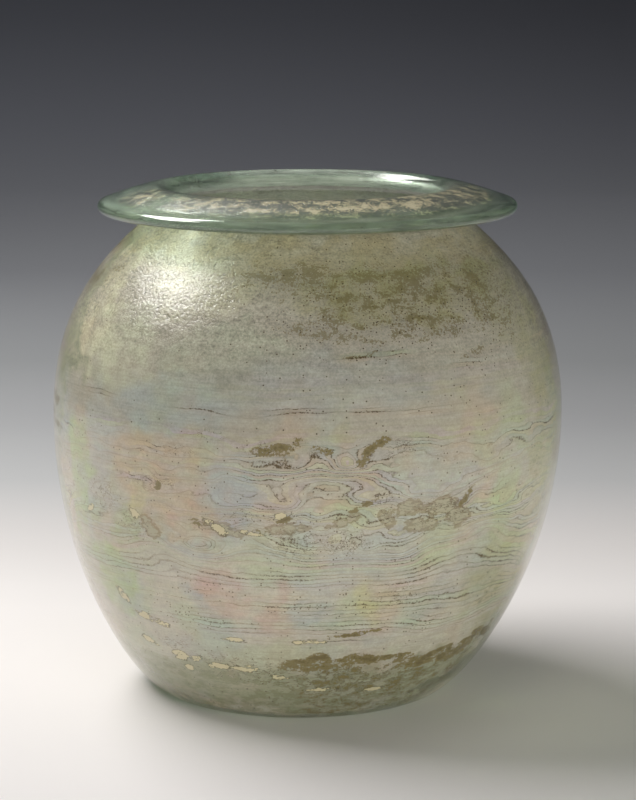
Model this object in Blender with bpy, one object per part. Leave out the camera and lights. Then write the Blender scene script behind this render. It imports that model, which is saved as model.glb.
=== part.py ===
"""A blown glass cinerary urn: a squat round body, a short neck and a broad rim folded outward.

One piece of glass, hollow and open at the mouth. Sizes are in metres. The urn stands on the XY plane
with its widest circle centred on the Z axis.
"""

import math

import bmesh
import bpy
from mathutils import Vector
from mathutils.geometry import interpolate_bezier

# Body, on the outside
BELLY_RADIUS = 0.110
BELLY_HEIGHT = 0.1195
LOWER_FULLNESS = 0.059  # how far the belly holds its width downwards
UPPER_FULLNESS = 0.0505  # how far it holds its width upwards
SHOULDER_SLOPE = math.radians(40)  # from level, where the shoulder runs into the neck
SHOULDER_REACH = 0.0255  # how far the shoulder keeps to that slope

# Foot
FOOT_RADIUS = 0.0617  # outer edge of the flat ring that it stands on
FOOT_RING_WIDTH = 0.016
FOOT_ROUND = 0.006
FOOT_RISE = math.radians(37)  # the wall's slope where it leaves the foot
FOOT_REACH = 0.0215  # how far the wall keeps to that slope
KICK_DEPTH = 0.0025  # how far the underside is pushed up inside the ring
FOOT_OFFSET = 0.0032  # how far off the axis the foot was set, towards -X

# Neck and rim
HEIGHT = 0.217
NECK_BORE_RADIUS = 0.0585
NECK_DEPTH = 0.0066  # from the crest of the rim down to the narrowest part
NECK_HOLLOW = 0.003  # radius of the groove between the shoulder and the rim
CREST_RADIUS = 0.0642  # the highest circle of the rim
CREST_REACH = 0.0055  # how far the rim stays level outside its crest
RIM_RADIUS = 0.0899
RIM_DROP = 0.0087  # from the crest down to the widest circle
RIM_EDGE_THICKNESS = 0.0047
RIM_REACH = 0.008  # how far the rim's upper face stays parallel to its underside

# Glass
WALL = 0.003
BASE_WALL = 0.0045
BASE_FADE = 0.030  # the height over which the wall thins from BASE_WALL to WALL

# Fineness
SEGMENTS = 64
BODY_POINTS = 11
RIM_POINTS = 5
FLOOR_RINGS = 4
ARC_STEP = math.radians(30)
MERGE = 1e-6
SHARP_ANGLE = math.radians(35)


def curve(start, start_handle, end_handle, end, count):
    """Points along a Bezier curve, both ends included."""
    flat = [Vector((*point, 0.0)) for point in (start, start_handle, end_handle, end)]
    return [Vector((p.x, p.y)) for p in interpolate_bezier(*flat, count)]


def arc(centre, radius, start, end):
    """Points along an arc from one angle to another, both ends included."""
    steps = math.ceil(abs(end - start) / ARC_STEP)
    angles = [start + (end - start) * i / steps for i in range(steps + 1)]
    return [centre + radius * Vector((math.cos(a), math.sin(a))) for a in angles]


def pushed_up(radius):
    """How high the underside is pushed up at this radius."""
    share = min(radius / (FOOT_RADIUS - FOOT_RING_WIDTH), 1.0)
    return KICK_DEPTH * (1.0 - share**2) ** 2


def underside():
    """The underside, from its middle out to the edge of the flat ring."""
    kick_radius = FOOT_RADIUS - FOOT_RING_WIDTH
    radii = [kick_radius * i / FLOOR_RINGS for i in range(FLOOR_RINGS + 1)]
    return [Vector((r, pushed_up(r))) for r in [*radii, FOOT_RADIUS]]


def neck_centre():
    """The middle of the groove's round."""
    return Vector((NECK_BORE_RADIUS + WALL + NECK_HOLLOW, HEIGHT - NECK_DEPTH))


def side():
    """The outside of the body, from the foot's round up to the narrowest part of the neck."""
    foot = arc(Vector((FOOT_RADIUS, FOOT_ROUND)), FOOT_ROUND, -math.pi / 2, FOOT_RISE - math.pi / 2)
    groove = arc(neck_centre(), NECK_HOLLOW, 3 * math.pi / 2 - SHOULDER_SLOPE, math.pi)
    belly = Vector((BELLY_RADIUS, BELLY_HEIGHT))
    up_from_foot = Vector((math.cos(FOOT_RISE), math.sin(FOOT_RISE)))
    down_shoulder = Vector((math.cos(SHOULDER_SLOPE), -math.sin(SHOULDER_SLOPE)))
    lower = curve(
        foot[-1],
        foot[-1] + FOOT_REACH * up_from_foot,
        belly - Vector((0.0, LOWER_FULLNESS)),
        belly,
        BODY_POINTS,
    )
    upper = curve(
        belly,
        belly + Vector((0.0, UPPER_FULLNESS)),
        groove[0] + SHOULDER_REACH * down_shoulder,
        groove[0],
        BODY_POINTS,
    )
    return foot[1:] + lower[1:] + upper[1:] + groove[1:]


def rim():
    """The rim's underside, its rounded edge and its upper face, from the neck out and back to the crest."""
    groove_centre = neck_centre()
    edge_round = RIM_EDGE_THICKNESS / 2
    edge_centre = Vector((RIM_RADIUS - edge_round, HEIGHT - RIM_DROP))
    run = edge_centre - groove_centre
    # The underside is straight: it touches the groove's round from above and the edge's from below.
    slope = math.atan2(run.y, run.x) - math.asin((NECK_HOLLOW + edge_round) / run.length)
    outward = Vector((math.cos(slope), math.sin(slope)))
    groove = arc(groove_centre, NECK_HOLLOW, math.pi, slope + math.pi / 2)
    edge = arc(edge_centre, edge_round, slope - math.pi / 2, slope + math.pi / 2)
    crest = Vector((CREST_RADIUS, HEIGHT))
    top = curve(
        edge[-1],
        edge[-1] - RIM_REACH * outward,
        crest + Vector((CREST_REACH, 0.0)),
        crest,
        RIM_POINTS,
    )
    return groove[1:] + edge + top[1:]


def mouth():
    """The rolled inside of the rim: a quarter of an ellipse from the crest down to the neck's bore."""
    quarter = arc(Vector((0.0, 0.0)), 1.0, math.pi / 2, math.pi)
    wide = CREST_RADIUS - NECK_BORE_RADIUS
    middle = Vector((CREST_RADIUS, HEIGHT - NECK_DEPTH))
    return [middle + Vector((wide * p.x, NECK_DEPTH * p.y)) for p in quarter[1:]]


def glass_thickness(height):
    """The wall's thickness at this height: greatest at the foot."""
    fade = max(0.0, 1.0 - height / BASE_FADE)
    return WALL + (BASE_WALL - WALL) * fade**2


def inside(outside):
    """The inside of the body, from under the neck down to the middle of the floor."""
    wall = []
    for before, here, after in zip(outside, outside[1:], outside[2:]):
        along = (after - before).normalized()
        wall.append(here + glass_thickness(here.y) * Vector((-along.y, along.x)))
    # The floor ends where it meets the slope of the wall's inner face.
    foot_corner = FOOT_RADIUS + FOOT_ROUND * math.tan(FOOT_RISE / 2)
    floor_radius = foot_corner - BASE_WALL * math.tan(FOOT_RISE / 2)
    radii = [floor_radius * i / FLOOR_RINGS for i in range(FLOOR_RINGS + 1)]
    floor = [Vector((r, BASE_WALL + pushed_up(r))) for r in radii]
    return list(reversed(floor + wall))


def section():
    """Half the urn's section, from the middle of the underside round to the middle of the floor."""
    outside = side()
    return underside() + outside + rim() + mouth() + inside(outside)


def lean(height):
    """How far the urn's middle lies towards -X at this height."""
    below_belly = max(0.0, 1.0 - height / BELLY_HEIGHT)
    return FOOT_OFFSET * below_belly**1.5


def turned(name, points, material):
    """An object made by turning the section round the Z axis and leaning its lower body."""
    shell = bmesh.new()
    ring = [shell.verts.new((p.x, 0.0, p.y)) for p in points]
    edges = [shell.edges.new(pair) for pair in zip(ring, ring[1:])]
    bmesh.ops.spin(
        shell,
        geom=ring + edges,
        cent=(0.0, 0.0, 0.0),
        axis=(0.0, 0.0, 1.0),
        angle=2 * math.pi,
        steps=SEGMENTS,
    )
    bmesh.ops.remove_doubles(shell, verts=shell.verts, dist=MERGE)
    for vert in shell.verts:
        vert.co.x -= lean(vert.co.z)
    bmesh.ops.recalc_face_normals(shell, faces=shell.faces)
    mesh = bpy.data.meshes.new(name)
    shell.to_mesh(mesh)
    shell.free()
    mesh.shade_smooth()
    mesh.set_sharp_from_angle(angle=SHARP_ANGLE)
    mesh.materials.append(material)
    piece = bpy.data.objects.new(name, mesh)
    bpy.context.scene.collection.objects.link(piece)
    return piece


def weathered_glass():
    """Pale green glass under a milky weathering film."""
    material = bpy.data.materials.new("weathered_glass")
    material.use_nodes = True
    shader = material.node_tree.nodes["Principled BSDF"]
    shader.inputs["Base Color"].default_value = (0.52, 0.60, 0.47, 1.0)
    shader.inputs["Metallic"].default_value = 0.0
    shader.inputs["Roughness"].default_value = 0.3
    shader.inputs["IOR"].default_value = 1.52
    shader.inputs["Transmission Weight"].default_value = 0.4
    return material


for stale in list(bpy.data.objects):
    bpy.data.objects.remove(stale, do_unlink=True)

turned("urn", section(), weathered_glass())
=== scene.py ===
# %% [markdown]
# # A weathered glass cinerary urn
# The real object is one piece of free-blown, pale blue-green glass: a squat round body, a short neck and a
# broad rim folded outward. Long burial has covered the body with a thin milky film of weathered glass. The
# film is iridescent, scaled and lined like wood grain, and only the rim is still clear.
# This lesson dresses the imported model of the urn. First it loads that model, whose size is the urn's size.

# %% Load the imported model
import math

import bpy
import numpy as np
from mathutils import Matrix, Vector, noise


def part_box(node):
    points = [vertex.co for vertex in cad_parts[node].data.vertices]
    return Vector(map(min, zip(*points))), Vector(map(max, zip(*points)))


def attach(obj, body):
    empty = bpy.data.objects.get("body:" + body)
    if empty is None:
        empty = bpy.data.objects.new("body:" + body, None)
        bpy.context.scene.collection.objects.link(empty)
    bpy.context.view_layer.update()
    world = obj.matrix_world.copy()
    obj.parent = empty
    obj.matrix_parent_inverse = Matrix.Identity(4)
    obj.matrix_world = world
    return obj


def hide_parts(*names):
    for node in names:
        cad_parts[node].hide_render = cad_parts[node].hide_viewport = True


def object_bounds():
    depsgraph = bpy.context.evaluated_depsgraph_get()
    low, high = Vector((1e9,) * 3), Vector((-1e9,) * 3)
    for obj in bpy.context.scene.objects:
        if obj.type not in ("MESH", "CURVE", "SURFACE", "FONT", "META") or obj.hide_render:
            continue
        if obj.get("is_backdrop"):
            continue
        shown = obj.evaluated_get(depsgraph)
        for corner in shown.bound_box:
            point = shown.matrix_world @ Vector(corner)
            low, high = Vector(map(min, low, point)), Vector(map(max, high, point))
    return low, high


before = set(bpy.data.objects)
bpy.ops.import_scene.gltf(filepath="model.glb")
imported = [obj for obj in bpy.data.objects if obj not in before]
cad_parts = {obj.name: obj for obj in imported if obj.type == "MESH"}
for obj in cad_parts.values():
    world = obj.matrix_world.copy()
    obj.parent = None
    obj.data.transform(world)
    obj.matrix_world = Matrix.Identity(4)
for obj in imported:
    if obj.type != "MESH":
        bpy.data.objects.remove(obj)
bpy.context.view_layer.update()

MM = 0.001
URN = "urn"
urn_low, urn_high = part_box(URN)
print("urn, mm:", [round(x / MM, 1) for x in (urn_high - urn_low)])

# %% [markdown]
# ## Two small helpers
# Colours are easiest to pick as sRGB hex values, but shaders calculate with linear light, so one function
# turns them. Materials here are many small nodes, so a second function adds a node with its settings and
# its links.


# %% Helpers for colours and nodes
def linear(hex_colour):
    """An sRGB hex colour as linear red, green, blue and alpha, by the sRGB standard's own numbers."""
    shares = [int(hex_colour[i : i + 2], 16) / 255 for i in (1, 3, 5)]
    turned = [s / 12.92 if s <= 0.04045 else ((s + 0.055) / 1.055) ** 2.4 for s in shares]
    return (*turned, 1.0)


def add(tree, kind, sockets=(), out=0, **settings):
    """Adds a node and returns one of its outputs.

    The kind is the node's type without the ShaderNode that all these types start with. Each socket named is
    given a value or another node's output.
    """
    node = tree.nodes.new("ShaderNode" + kind)
    for name, value in settings.items():
        setattr(node, name, value)
    for socket, value in dict(sockets).items():
        if isinstance(value, bpy.types.NodeSocket):
            tree.links.new(value, node.inputs[socket])
        else:
            node.inputs[socket].default_value = value
    return node.outputs[out]


def new_material(name):
    """An empty material, its node tree and its output node."""
    material = bpy.data.materials.new(name)
    material.use_nodes = True
    tree = material.node_tree
    tree.nodes.clear()
    return material, tree, tree.nodes.new("ShaderNodeOutputMaterial")


print("white is", linear("#ffffff"))

# %% [markdown]
# ## Camera
# The photograph looks slightly down on the urn from a little over a metre away, through a long lens. The
# camera stands in front of the urn, on the -Y side, and a few millimetres to the right, so that the urn is
# a little to the left of the middle.

# %% Camera
PICTURE_HEIGHT = 800  # pixels, and the long side of the picture
FOCAL_PIXELS = 2588  # the lens's focal length, as the picture's pixels measure it
SENSOR = 36.0  # mm
CAMERA_DISTANCE = 1.100  # metres, from the urn's axis
CAMERA_HEIGHT = 0.3313
CAMERA_DOWN = math.radians(10.71)  # how far it looks down
CAMERA_RIGHT = 0.0045

camera = bpy.data.objects.new("camera", bpy.data.cameras.new("camera"))
camera.data.sensor_width = SENSOR
camera.data.lens = FOCAL_PIXELS * SENSOR / PICTURE_HEIGHT
camera.location = (CAMERA_RIGHT, -CAMERA_DISTANCE, CAMERA_HEIGHT)
camera.rotation_euler = (math.pi / 2 - CAMERA_DOWN, 0.0, 0.0)
bpy.context.scene.collection.objects.link(camera)
bpy.context.scene.camera = camera
bpy.context.scene.view_settings.view_transform = "Standard"
print("lens, mm:", round(camera.data.lens, 1))

# %% [markdown]
# ## Floor and backdrop
# The urn stands on a pale paper sweep whose colour is painted shade: it darkens towards the back, as in a
# studio where the light falls on the front of the table only. The sweep is one strip of faces: flat, then a
# wide curve, then upright. Its colour is a ramp over the distance from the front, so it stays the same from
# every side. High up, its left is painted lighter, as painted light. Far to the sides the paper turns white,
# which there looks like the studio's grey, so that its ends don't show.

# %% Sweep
SWEEP_FRONT = -6.0
SWEEP_BEND = 1.9  # where the floor starts to rise
SWEEP_RADIUS = 1.2
SWEEP_TOP = 3.5
SWEEP_HALF_WIDTH = 6.0
SWEEP_DROP = 0.0001  # the paper lies this much under the foot, so that no two faces share a place
SWEEP_STEPS = 24
# Distance behind the urn's middle in metres, and the paper's colour there, painted darker where less light
# falls
SWEEP_PAINTED_SHADE = (
    (-6.00, "#8a8b8f"),
    (-2.40, "#c9c8c8"),
    (-0.40, "#ebe8e8"),
    (0.13, "#e8e5e4"),
    (0.25, "#d2cfce"),
    (0.40, "#b3b4b5"),
    (0.58, "#9fa0a2"),
    (0.81, "#939597"),
    (1.31, "#999ba0"),
    (1.90, "#afb1b7"),
    (2.29, "#8d8f97"),
    (2.60, "#6a6c73"),
    (4.50, "#54555a"),
)
FAR_SIDE_FROM, FAR_SIDE_TO = 1.5, 4.5  # how far to the side the paper starts to turn white, and is white
LEFT_GLOW = 0.62  # painted light: how much lighter the upright paper is painted on its left
GLOW_FROM, GLOW_TO = 1.3, 2.6  # the distances over which the glow grows
GLOW_HALF_WIDTH = 0.42


def sweep_profile():
    """Points across the sweep, front to top, each with its distance along the paper."""
    bend = [math.pi / 2 * i / SWEEP_STEPS for i in range(SWEEP_STEPS + 1)]
    curve = [(SWEEP_BEND + SWEEP_RADIUS * math.sin(a), SWEEP_RADIUS * (1 - math.cos(a))) for a in bend]
    flat = np.linspace(SWEEP_FRONT, SWEEP_BEND, SWEEP_STEPS, endpoint=False)
    return [(y, 0.0) for y in flat] + curve + [(SWEEP_BEND + SWEEP_RADIUS, SWEEP_TOP)]


def paper(material_name):
    """Matt paper whose tone follows the distance from the front, as painted shade and painted light."""
    material, tree, output = new_material(material_name)
    along = add(tree, "Attribute", out="Fac", attribute_name="along")
    span = SWEEP_PAINTED_SHADE[-1][0] - SWEEP_PAINTED_SHADE[0][0]
    share = add(
        tree,
        "MapRange",
        {"Value": along, "From Min": SWEEP_PAINTED_SHADE[0][0], "From Max": SWEEP_PAINTED_SHADE[-1][0]},
    )
    ramp = add(tree, "ValToRGB", {"Fac": share})
    stops = ramp.node.color_ramp.elements
    while len(stops) < len(SWEEP_PAINTED_SHADE):
        stops.new(0.5)  # any place will do, since all are set below
    for stop, (distance, tone) in zip(stops, SWEEP_PAINTED_SHADE):
        stop.position = (distance - SWEEP_PAINTED_SHADE[0][0]) / span
        stop.color = linear(tone)
    across = add(tree, "Attribute", out="Fac", attribute_name="across")
    left = add(
        tree,
        "MapRange",
        {"Value": across, "From Min": GLOW_HALF_WIDTH, "From Max": -GLOW_HALF_WIDTH},
    )
    back = add(tree, "MapRange", {"Value": along, "From Min": GLOW_FROM, "From Max": GLOW_TO})
    glow = add(tree, "Math", {0: left, 1: back}, operation="MULTIPLY")
    glow = add(tree, "Math", {0: glow, 1: LEFT_GLOW, 2: 1.0}, operation="MULTIPLY_ADD")
    lit = add(tree, "VectorMath", {0: ramp, "Scale": glow}, operation="SCALE")
    aside = add(tree, "Math", {0: across}, operation="ABSOLUTE")
    far = add(tree, "MapRange", {"Value": aside, "From Min": FAR_SIDE_FROM, "From Max": FAR_SIDE_TO})
    tone = add(tree, "Mix", {0: far, 6: lit, 7: linear("#ffffff")}, out=2, data_type="RGBA")
    shader = add(tree, "BsdfDiffuse", {"Color": tone})
    tree.links.new(shader, output.inputs["Surface"])
    return material


profile = sweep_profile()
sweep_mesh = bpy.data.meshes.new("paper_sweep")
sweep_mesh.from_pydata(
    [(side * SWEEP_HALF_WIDTH, y, z - SWEEP_DROP) for y, z in profile for side in (-1, 1)],
    [],
    [(2 * i, 2 * i + 1, 2 * i + 3, 2 * i + 2) for i in range(len(profile) - 1)],
)
steps = [math.dist(a, b) for a, b in zip(profile, profile[1:])]
distances = np.repeat(SWEEP_FRONT + np.cumsum([0.0, *steps]), 2).astype(np.float32)
sweep_mesh.attributes.new("along", "FLOAT", "POINT").data.foreach_set("value", distances)
sides = np.tile([-SWEEP_HALF_WIDTH, SWEEP_HALF_WIDTH], len(profile)).astype(np.float32)
sweep_mesh.attributes.new("across", "FLOAT", "POINT").data.foreach_set("value", sides)
sweep_mesh.shade_smooth()
sweep_mesh.materials.append(paper("painted_shade_paper"))
sweep = bpy.data.objects.new("paper_sweep", sweep_mesh)
bpy.context.scene.collection.objects.link(sweep)
sweep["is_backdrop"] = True
print("sweep faces:", len(sweep_mesh.polygons))

# %% [markdown]
# ## Light
# One large softbox hangs high on the left, behind the urn. It makes the bright patch on the left shoulder
# and throws the soft shadow forward and to the right. A wide, weak panel in front fills the shadows, and
# the dim world fills them a little more.

# %% Softboxes
AIM = Vector((0.0, 0.0, 0.10))  # what the lamps face: the middle of the urn
FILL_SPREAD = math.radians(60)  # a grid keeps its light off the floor near it
WORLD_GREY = "#8b8d92"
WORLD_STRENGTH = 0.3


def softbox(name, direction, distance, size, watts, tint):
    """An area light that faces the urn."""
    light = bpy.data.lights.new(name, "AREA")
    light.shape = "RECTANGLE"
    light.size, light.size_y = size
    light.energy = watts
    light.color = linear(tint)[:3]
    lamp = bpy.data.objects.new(name, light)
    lamp.location = AIM + distance * Vector(direction).normalized()
    lamp.rotation_euler = Vector(direction).to_track_quat("Z", "Y").to_euler()
    bpy.context.scene.collection.objects.link(lamp)
    return lamp


softbox(
    "key_softbox",
    direction=(-0.54, 0.33, 0.78),
    distance=1.25,
    size=(1.1, 0.36),
    watts=20.3,
    tint="#fffdfa",
)
fill = softbox(
    "front_fill",
    direction=(0.5, -1.0, 0.22),
    distance=2.4,
    size=(2.4, 0.4),
    watts=4.9,
    tint="#fffdf8",
)
fill.data.spread = FILL_SPREAD
# The real panel is cloth and too dull to mirror, in the glass's gloss or behind it.
fill.visible_glossy = False
fill.visible_transmission = False

world = bpy.data.worlds.new("studio")
world.use_nodes = True
world.node_tree.nodes["Background"].inputs["Color"].default_value = linear(WORLD_GREY)
world.node_tree.nodes["Background"].inputs["Strength"].default_value = WORLD_STRENGTH
bpy.context.scene.world = world

# %% [markdown]
# ## The urn's section
# The urn was blown and turned, so its shape is a section carried round the upright axis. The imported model
# has the same section with few points, because it has to stay light. Here the same curves are followed in
# small steps, so that the outline is smooth and every few square millimetres have a point of their own.
# Those points will carry the weathering.
# The section starts in the middle of the underside, runs up the outside, over the rim and down the inside.

# %% Sizes of the section
BELLY_RADIUS = urn_high.x
BELLY_HEIGHT = 0.1195
LOWER_FULLNESS = 0.059  # how far the belly holds its width downwards
UPPER_FULLNESS = 0.0505  # how far it holds its width upwards
SHOULDER_SLOPE = math.radians(40)
SHOULDER_REACH = 0.0255  # how far the shoulder keeps to that slope
FOOT_RADIUS = 0.0617
FOOT_RING_WIDTH = 0.016
FOOT_ROUND = 0.006
FOOT_RISE = math.radians(37)
FOOT_REACH = 0.0215  # how far the wall keeps to that slope
KICK_DEPTH = 0.0025  # how far the underside is pushed up
FOOT_OFFSET = 0.0032  # how far off the axis the foot was set, towards -X
LEAN_POWER = 1.5  # the higher, the nearer to the foot the wall leans
HEIGHT = urn_high.z
NECK_BORE_RADIUS = 0.0585
NECK_DEPTH = 0.0066  # from the crest of the rim down to the narrowest part
NECK_HOLLOW = 0.003  # radius of the groove under the rim
CREST_RADIUS = 0.0642
CREST_REACH = 0.0055  # how far the rim stays level outside its crest
RIM_RADIUS = 0.0899
RIM_DROP = 0.0087  # from the crest down to the widest circle
RIM_EDGE_THICKNESS = 0.0047
RIM_REACH = 0.008  # how far the upper face stays parallel to the underside
WALL = 0.003
BASE_WALL = 0.0045
BASE_FADE = 0.030  # the height over which the wall thins from BASE_WALL to WALL
print("height, mm:", round(HEIGHT / MM, 1), " belly radius, mm:", round(BELLY_RADIUS / MM, 1))


# %% Curves of the section
FINE = 300  # points that each curve is worked out with before it is spaced


def bezier(start, start_handle, end_handle, end):
    """A fine Bezier curve as an array of points."""
    t = np.linspace(0.0, 1.0, FINE)[:, None]
    weights = ((1 - t) ** 3, 3 * t * (1 - t) ** 2, 3 * t**2 * (1 - t), t**3)
    return sum(w * np.array(p) for w, p in zip(weights, (start, start_handle, end_handle, end)))


def arc(centre, radius, start, end):
    """A fine arc. The radius may be a pair, for an ellipse."""
    angles = np.linspace(start, end, FINE)
    return np.array(centre) + np.array(radius) * np.stack([np.cos(angles), np.sin(angles)], axis=1)


def spaced(points, step):
    """The same curve with points a step apart, without its last one."""
    lengths = np.concatenate([[0.0], np.cumsum(np.linalg.norm(np.diff(points, axis=0), axis=1))])
    count = max(1, math.ceil(lengths[-1] / step))
    at = np.linspace(0.0, lengths[-1], count, endpoint=False)
    return np.stack([np.interp(at, lengths, points[:, k]) for k in (0, 1)], axis=1)


def pushed_up(radius):
    """How high the underside is pushed up at this radius."""
    share = np.minimum(radius / (FOOT_RADIUS - FOOT_RING_WIDTH), 1.0)
    return KICK_DEPTH * (1.0 - share**2) ** 2


def outside_curves():
    """The outside from the foot's edge to the narrowest part of the neck, as named curves."""
    slope = np.array((math.cos(SHOULDER_SLOPE), -math.sin(SHOULDER_SLOPE)))
    rise = np.array((math.cos(FOOT_RISE), math.sin(FOOT_RISE)))
    belly = np.array((BELLY_RADIUS, BELLY_HEIGHT))
    neck = (NECK_BORE_RADIUS + WALL + NECK_HOLLOW, HEIGHT - NECK_DEPTH)
    foot = arc((FOOT_RADIUS, FOOT_ROUND), FOOT_ROUND, -math.pi / 2, FOOT_RISE - math.pi / 2)
    groove = arc(neck, NECK_HOLLOW, 3 * math.pi / 2 - SHOULDER_SLOPE, math.pi)
    lower = bezier(foot[-1], foot[-1] + FOOT_REACH * rise, belly - (0, LOWER_FULLNESS), belly)
    upper = bezier(belly, belly + (0, UPPER_FULLNESS), groove[0] + SHOULDER_REACH * slope, groove[0])
    return {"foot": foot, "lower": lower, "upper": upper, "groove": groove}


def rim_curves():
    """The rim from the neck out, round its edge, and back over its upper face to the bore."""
    neck = np.array((NECK_BORE_RADIUS + WALL + NECK_HOLLOW, HEIGHT - NECK_DEPTH))
    half = RIM_EDGE_THICKNESS / 2
    edge_middle = np.array((RIM_RADIUS - half, HEIGHT - RIM_DROP))
    run = edge_middle - neck
    slope = math.atan2(run[1], run[0]) - math.asin((NECK_HOLLOW + half) / np.linalg.norm(run))
    outward = np.array((math.cos(slope), math.sin(slope)))
    turn = arc(neck, NECK_HOLLOW, math.pi, slope + math.pi / 2)
    edge = arc(edge_middle, half, slope - math.pi / 2, slope + math.pi / 2)
    crest = np.array((CREST_RADIUS, HEIGHT))
    face = bezier(edge[-1], edge[-1] - RIM_REACH * outward, crest + (CREST_REACH, 0), crest)
    bore = ((CREST_RADIUS, HEIGHT - NECK_DEPTH), (CREST_RADIUS - NECK_BORE_RADIUS, NECK_DEPTH))
    underside = np.linspace(turn[-1], edge[0], FINE)
    return {
        "turn": turn,
        "rim_underside": underside,
        "rim_edge": edge,
        "rim_face": face,
        "mouth": arc(*bore, math.pi / 2, math.pi),
    }


def inner_wall(outside):
    """The inside of the wall: the outside moved inward by the glass's thickness, top to bottom."""
    along = np.gradient(outside, axis=0)
    along /= np.linalg.norm(along, axis=1, keepdims=True)
    fade = np.maximum(0.0, 1.0 - outside[:, 1] / BASE_FADE) ** 2
    thickness = WALL + (BASE_WALL - WALL) * fade
    return (outside + thickness[:, None] * np.stack([-along[:, 1], along[:, 0]], axis=1))[::-1]


# %% [markdown]
# ## How fine each part of the section is
# The weathering needs rows about 1.5 mm apart on the outside. The rim is smaller and rounder, so it gets
# closer ones, and the inside gets few, since it is only seen through the mouth and the glass.

# %% Rows of the section
STEPS = {  # from one row to the next, in metres
    "underside": 0.005,
    "foot": 0.0009,
    "lower": 0.00147,
    "upper": 0.00147,
    "groove": 0.0007,
    "turn": 0.0008,
    "rim_underside": 0.0018,
    "rim_edge": 0.0009,
    "rim_face": 0.0013,
    "mouth": 0.0011,
    "inner_wall": 0.0075,
    "floor": 0.006,
}
outside = outside_curves()
radii = np.linspace(0.0, FOOT_RADIUS, FINE)
underside = np.stack([radii, pushed_up(radii)], axis=1)
smooth_outside = np.concatenate([curve[:-1] for curve in outside.values()])
curves = {
    "underside": underside,
    **outside,
    **rim_curves(),
    "inner_wall": inner_wall(smooth_outside),
    "floor": (underside + (0, BASE_WALL))[::-1],
}
rows = {name: spaced(curve, STEPS[name]) for name, curve in curves.items()}
floor_middle = curves["floor"][-1]
section = np.concatenate([*rows.values(), floor_middle[None, :]])
part_of_row = np.array([name for name, points in rows.items() for _ in points] + ["floor"])
print("rows:", {name: len(points) for name, points in rows.items()})

# %% [markdown]
# ## Carrying the section round
# The rows become rings of points. A blown vessel is never quite true: it is a little oval, and its wall has
# faint level ripples from turning on the blowpipe. These departures are fractions of a millimetre and run
# inward, so the urn keeps its measured size. The foot sits 3 mm off the axis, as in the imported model, and
# the wall leans over to it.

# %% Rings of points
AROUND = 340  # points in each ring
OVAL = 0.35 * MM
OVAL_TURN = 0.7  # radians, twice the angle round the urn at which it is widest
RIPPLE = 0.06 * MM
RIPPLE_SPACING = 6.5 * MM
RIPPLE_SLANT = 0.7  # how far the ripples are out of level, in radians of one ripple
WANDER = 0.35 * MM
WANDER_SIZE = 55 * MM
TRUE_FOOT = 0.03  # up to this height the departures fade in, so that the urn stands on a flat ring


def soft(value, low, high):
    """0 below low, 1 above high, and a smooth rise between them."""
    t = np.clip((value - low) / (high - low), 0.0, 1.0)
    return t * t * (3 - 2 * t)


def noise_field(points, size, octaves=3, seed=0.0):
    """Smooth noise at each point, about -1 to 1.

    The size is that of its patches, one number or one each for X, Y and Z.
    """
    scaled = points / np.array(size) + seed
    flat = scaled.reshape(-1, 3)
    values = [noise.fractal(Vector(p), 1.0, 2.0, octaves) for p in flat.tolist()]
    return np.array(values).reshape(points.shape[:-1])


azimuth = np.radians(np.arange(AROUND) * 360 / AROUND)  # 0 is the front, and it grows towards +X
ring_radius, ring_height = section[:, 0][:, None], section[:, 1][:, None]
true_shape = np.stack(
    np.broadcast_arrays(ring_radius * np.sin(azimuth), -ring_radius * np.cos(azimuth), ring_height), axis=-1
)
wander_noise = noise_field(true_shape, WANDER_SIZE, octaves=2, seed=3.7)
ripple_turn = 2 * math.pi * ring_height / RIPPLE_SPACING + RIPPLE_SLANT * np.sin(azimuth)
oval = OVAL * (0.5 - 0.5 * np.cos(2 * azimuth - OVAL_TURN))
turning = RIPPLE * (0.5 + 0.5 * np.sin(ripple_turn))
uneven = WANDER * (0.5 + 0.5 * np.clip(wander_noise, -1, 1))
free = soft(ring_radius, 0.0, FOOT_RADIUS) * soft(ring_height, 0.0, TRUE_FOOT)
inward = (oval + turning + uneven) * free * np.ones_like(azimuth)
lean = FOOT_OFFSET * np.maximum(0.0, 1.0 - ring_height / BELLY_HEIGHT) ** LEAN_POWER
shape = true_shape.copy()
shape[..., 0] -= inward * np.sin(azimuth) + lean
shape[..., 1] += inward * np.cos(azimuth)
print("rings:", len(section), " points:", shape[..., 0].size)
print("most inward, mm:", round(inward.max() / MM, 2))


# %% Mesh
def ring_mesh(name, rings):
    """A closed mesh from rings of points. The first and last rings shrink to one point each."""
    count, around = rings.shape[:2]
    points = [rings[0].mean(axis=0), *rings[1:-1].reshape(-1, 3), rings[-1].mean(axis=0)]
    last = len(points) - 1
    right = (np.arange(around) + 1) % around
    faces = []
    for j in range(count - 3):
        here, above = 1 + j * around, 1 + (j + 1) * around
        faces += [(here + i, here + k, above + k, above + i) for i, k in enumerate(right.tolist())]
    top = 1 + (count - 3) * around
    for i, k in enumerate(right.tolist()):
        faces.append((0, 1 + k, 1 + i))
        faces.append((top + i, top + k, last))
    mesh = bpy.data.meshes.new(name)
    mesh.from_pydata([tuple(p) for p in points], [], faces)
    mesh.shade_smooth()
    return mesh


glass_mesh = ring_mesh("blown_glass_urn", shape)
triangles = sum(len(p.vertices) - 2 for p in glass_mesh.polygons)
print("triangles:", triangles)

# %% [markdown]
# ## Where the weathering is
# On the real urn the film came off in scales that follow the flow of the once-soft glass, so its marks run
# level round the body, swell into whorls and end in torn edges. The broad layout of such marks is stored on
# the mesh's points, as one number per point for each kind of mark. The shader later adds what is finer than
# a point. A place on the urn is given as degrees round from the front and millimetres above the floor,
# which is how a conservator would note it down.

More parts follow.
